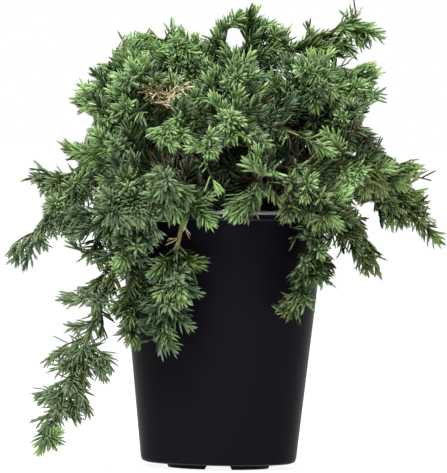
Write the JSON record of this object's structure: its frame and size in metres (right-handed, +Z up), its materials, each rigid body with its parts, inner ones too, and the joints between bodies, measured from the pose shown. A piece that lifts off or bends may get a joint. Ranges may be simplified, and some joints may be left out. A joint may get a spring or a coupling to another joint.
{
  "type": "potted dwarf juniper",
  "caption": "Dwarf garden juniper, a mounded evergreen shrub with spreading and hanging needled sprays, standing in a round black nursery pot.",
  "frame": {"origin": "on the pot's axis at the level of its feet, which is also the bottom centre of the whole plant's bounding box", "axes": "+Z up the pot's axis, -Y towards the front that the plant is seen from, +X to the right seen from there"},
  "size_m": [0.2996, 0.2694, 0.3225],
  "materials": {
    "pot": "satin black moulded plastic",
    "potting_mix": "moist composted bark",
    "bark": "thin peeling bark",
    "foliage": "awl-shaped evergreen needles"
  },
  "bodies": {
    "root": {"bough_back_high": "bark", "bough_back_left": "bark", "bough_back_low": "bark", "bough_back_trailing": "bark", "bough_front_hanging": "bark", "bough_front_high": "bark", "bough_front_left": "bark", "bough_front_right": "bark", "bough_left_high": "bark", "bough_left_low": "bark", "bough_left_trailing": "bark", "bough_right_high": "bark", "bough_right_low": "bark", "bough_right_trailing": "bark", "pot": "pot", "potting_mix": "potting_mix", "spray_back_cheek": "foliage", "spray_back_crest": "foliage", "spray_back_far": "foliage", "spray_back_left_far": "foliage", "spray_back_left_low": "foliage", "spray_back_right_far": "foliage", "spray_back_right_low": "foliage", "spray_back_shoulder": "foliage", "spray_far_left": "foliage", "spray_far_right": "foliage", "spray_front_brow": "foliage", "spray_front_cheek": "foliage", "spray_front_crest": "foliage", "spray_front_face": "foliage", "spray_front_left_low": "foliage", "spray_front_low": "foliage", "spray_front_low_left": "foliage", "spray_front_middle": "foliage", "spray_front_right_low": "foliage", "spray_hanging_back": "foliage", "spray_hanging_front": "foliage", "spray_hanging_right": "foliage", "spray_highest_tip": "foliage", "spray_left_back_shoulder": "foliage", "spray_left_beside_pot": "foliage", "spray_left_brow": "foliage", "spray_left_cheek": "foliage", "spray_left_crest": "foliage", "spray_left_fore": "foliage", "spray_left_outer": "foliage", "spray_left_shoulder": "foliage", "spray_left_top": "foliage", "spray_left_under": "foliage", "spray_right_back_shoulder": "foliage", "spray_right_brow": "foliage", "spray_right_cheek": "foliage", "spray_right_crest": "foliage", "spray_right_front": "foliage", "spray_right_outer": "foliage", "spray_right_shoulder": "foliage", "spray_right_top": "foliage", "spray_right_under": "foliage", "spray_trailing_left": "foliage", "trunk": "bark"}
  },
  "joints": []
}
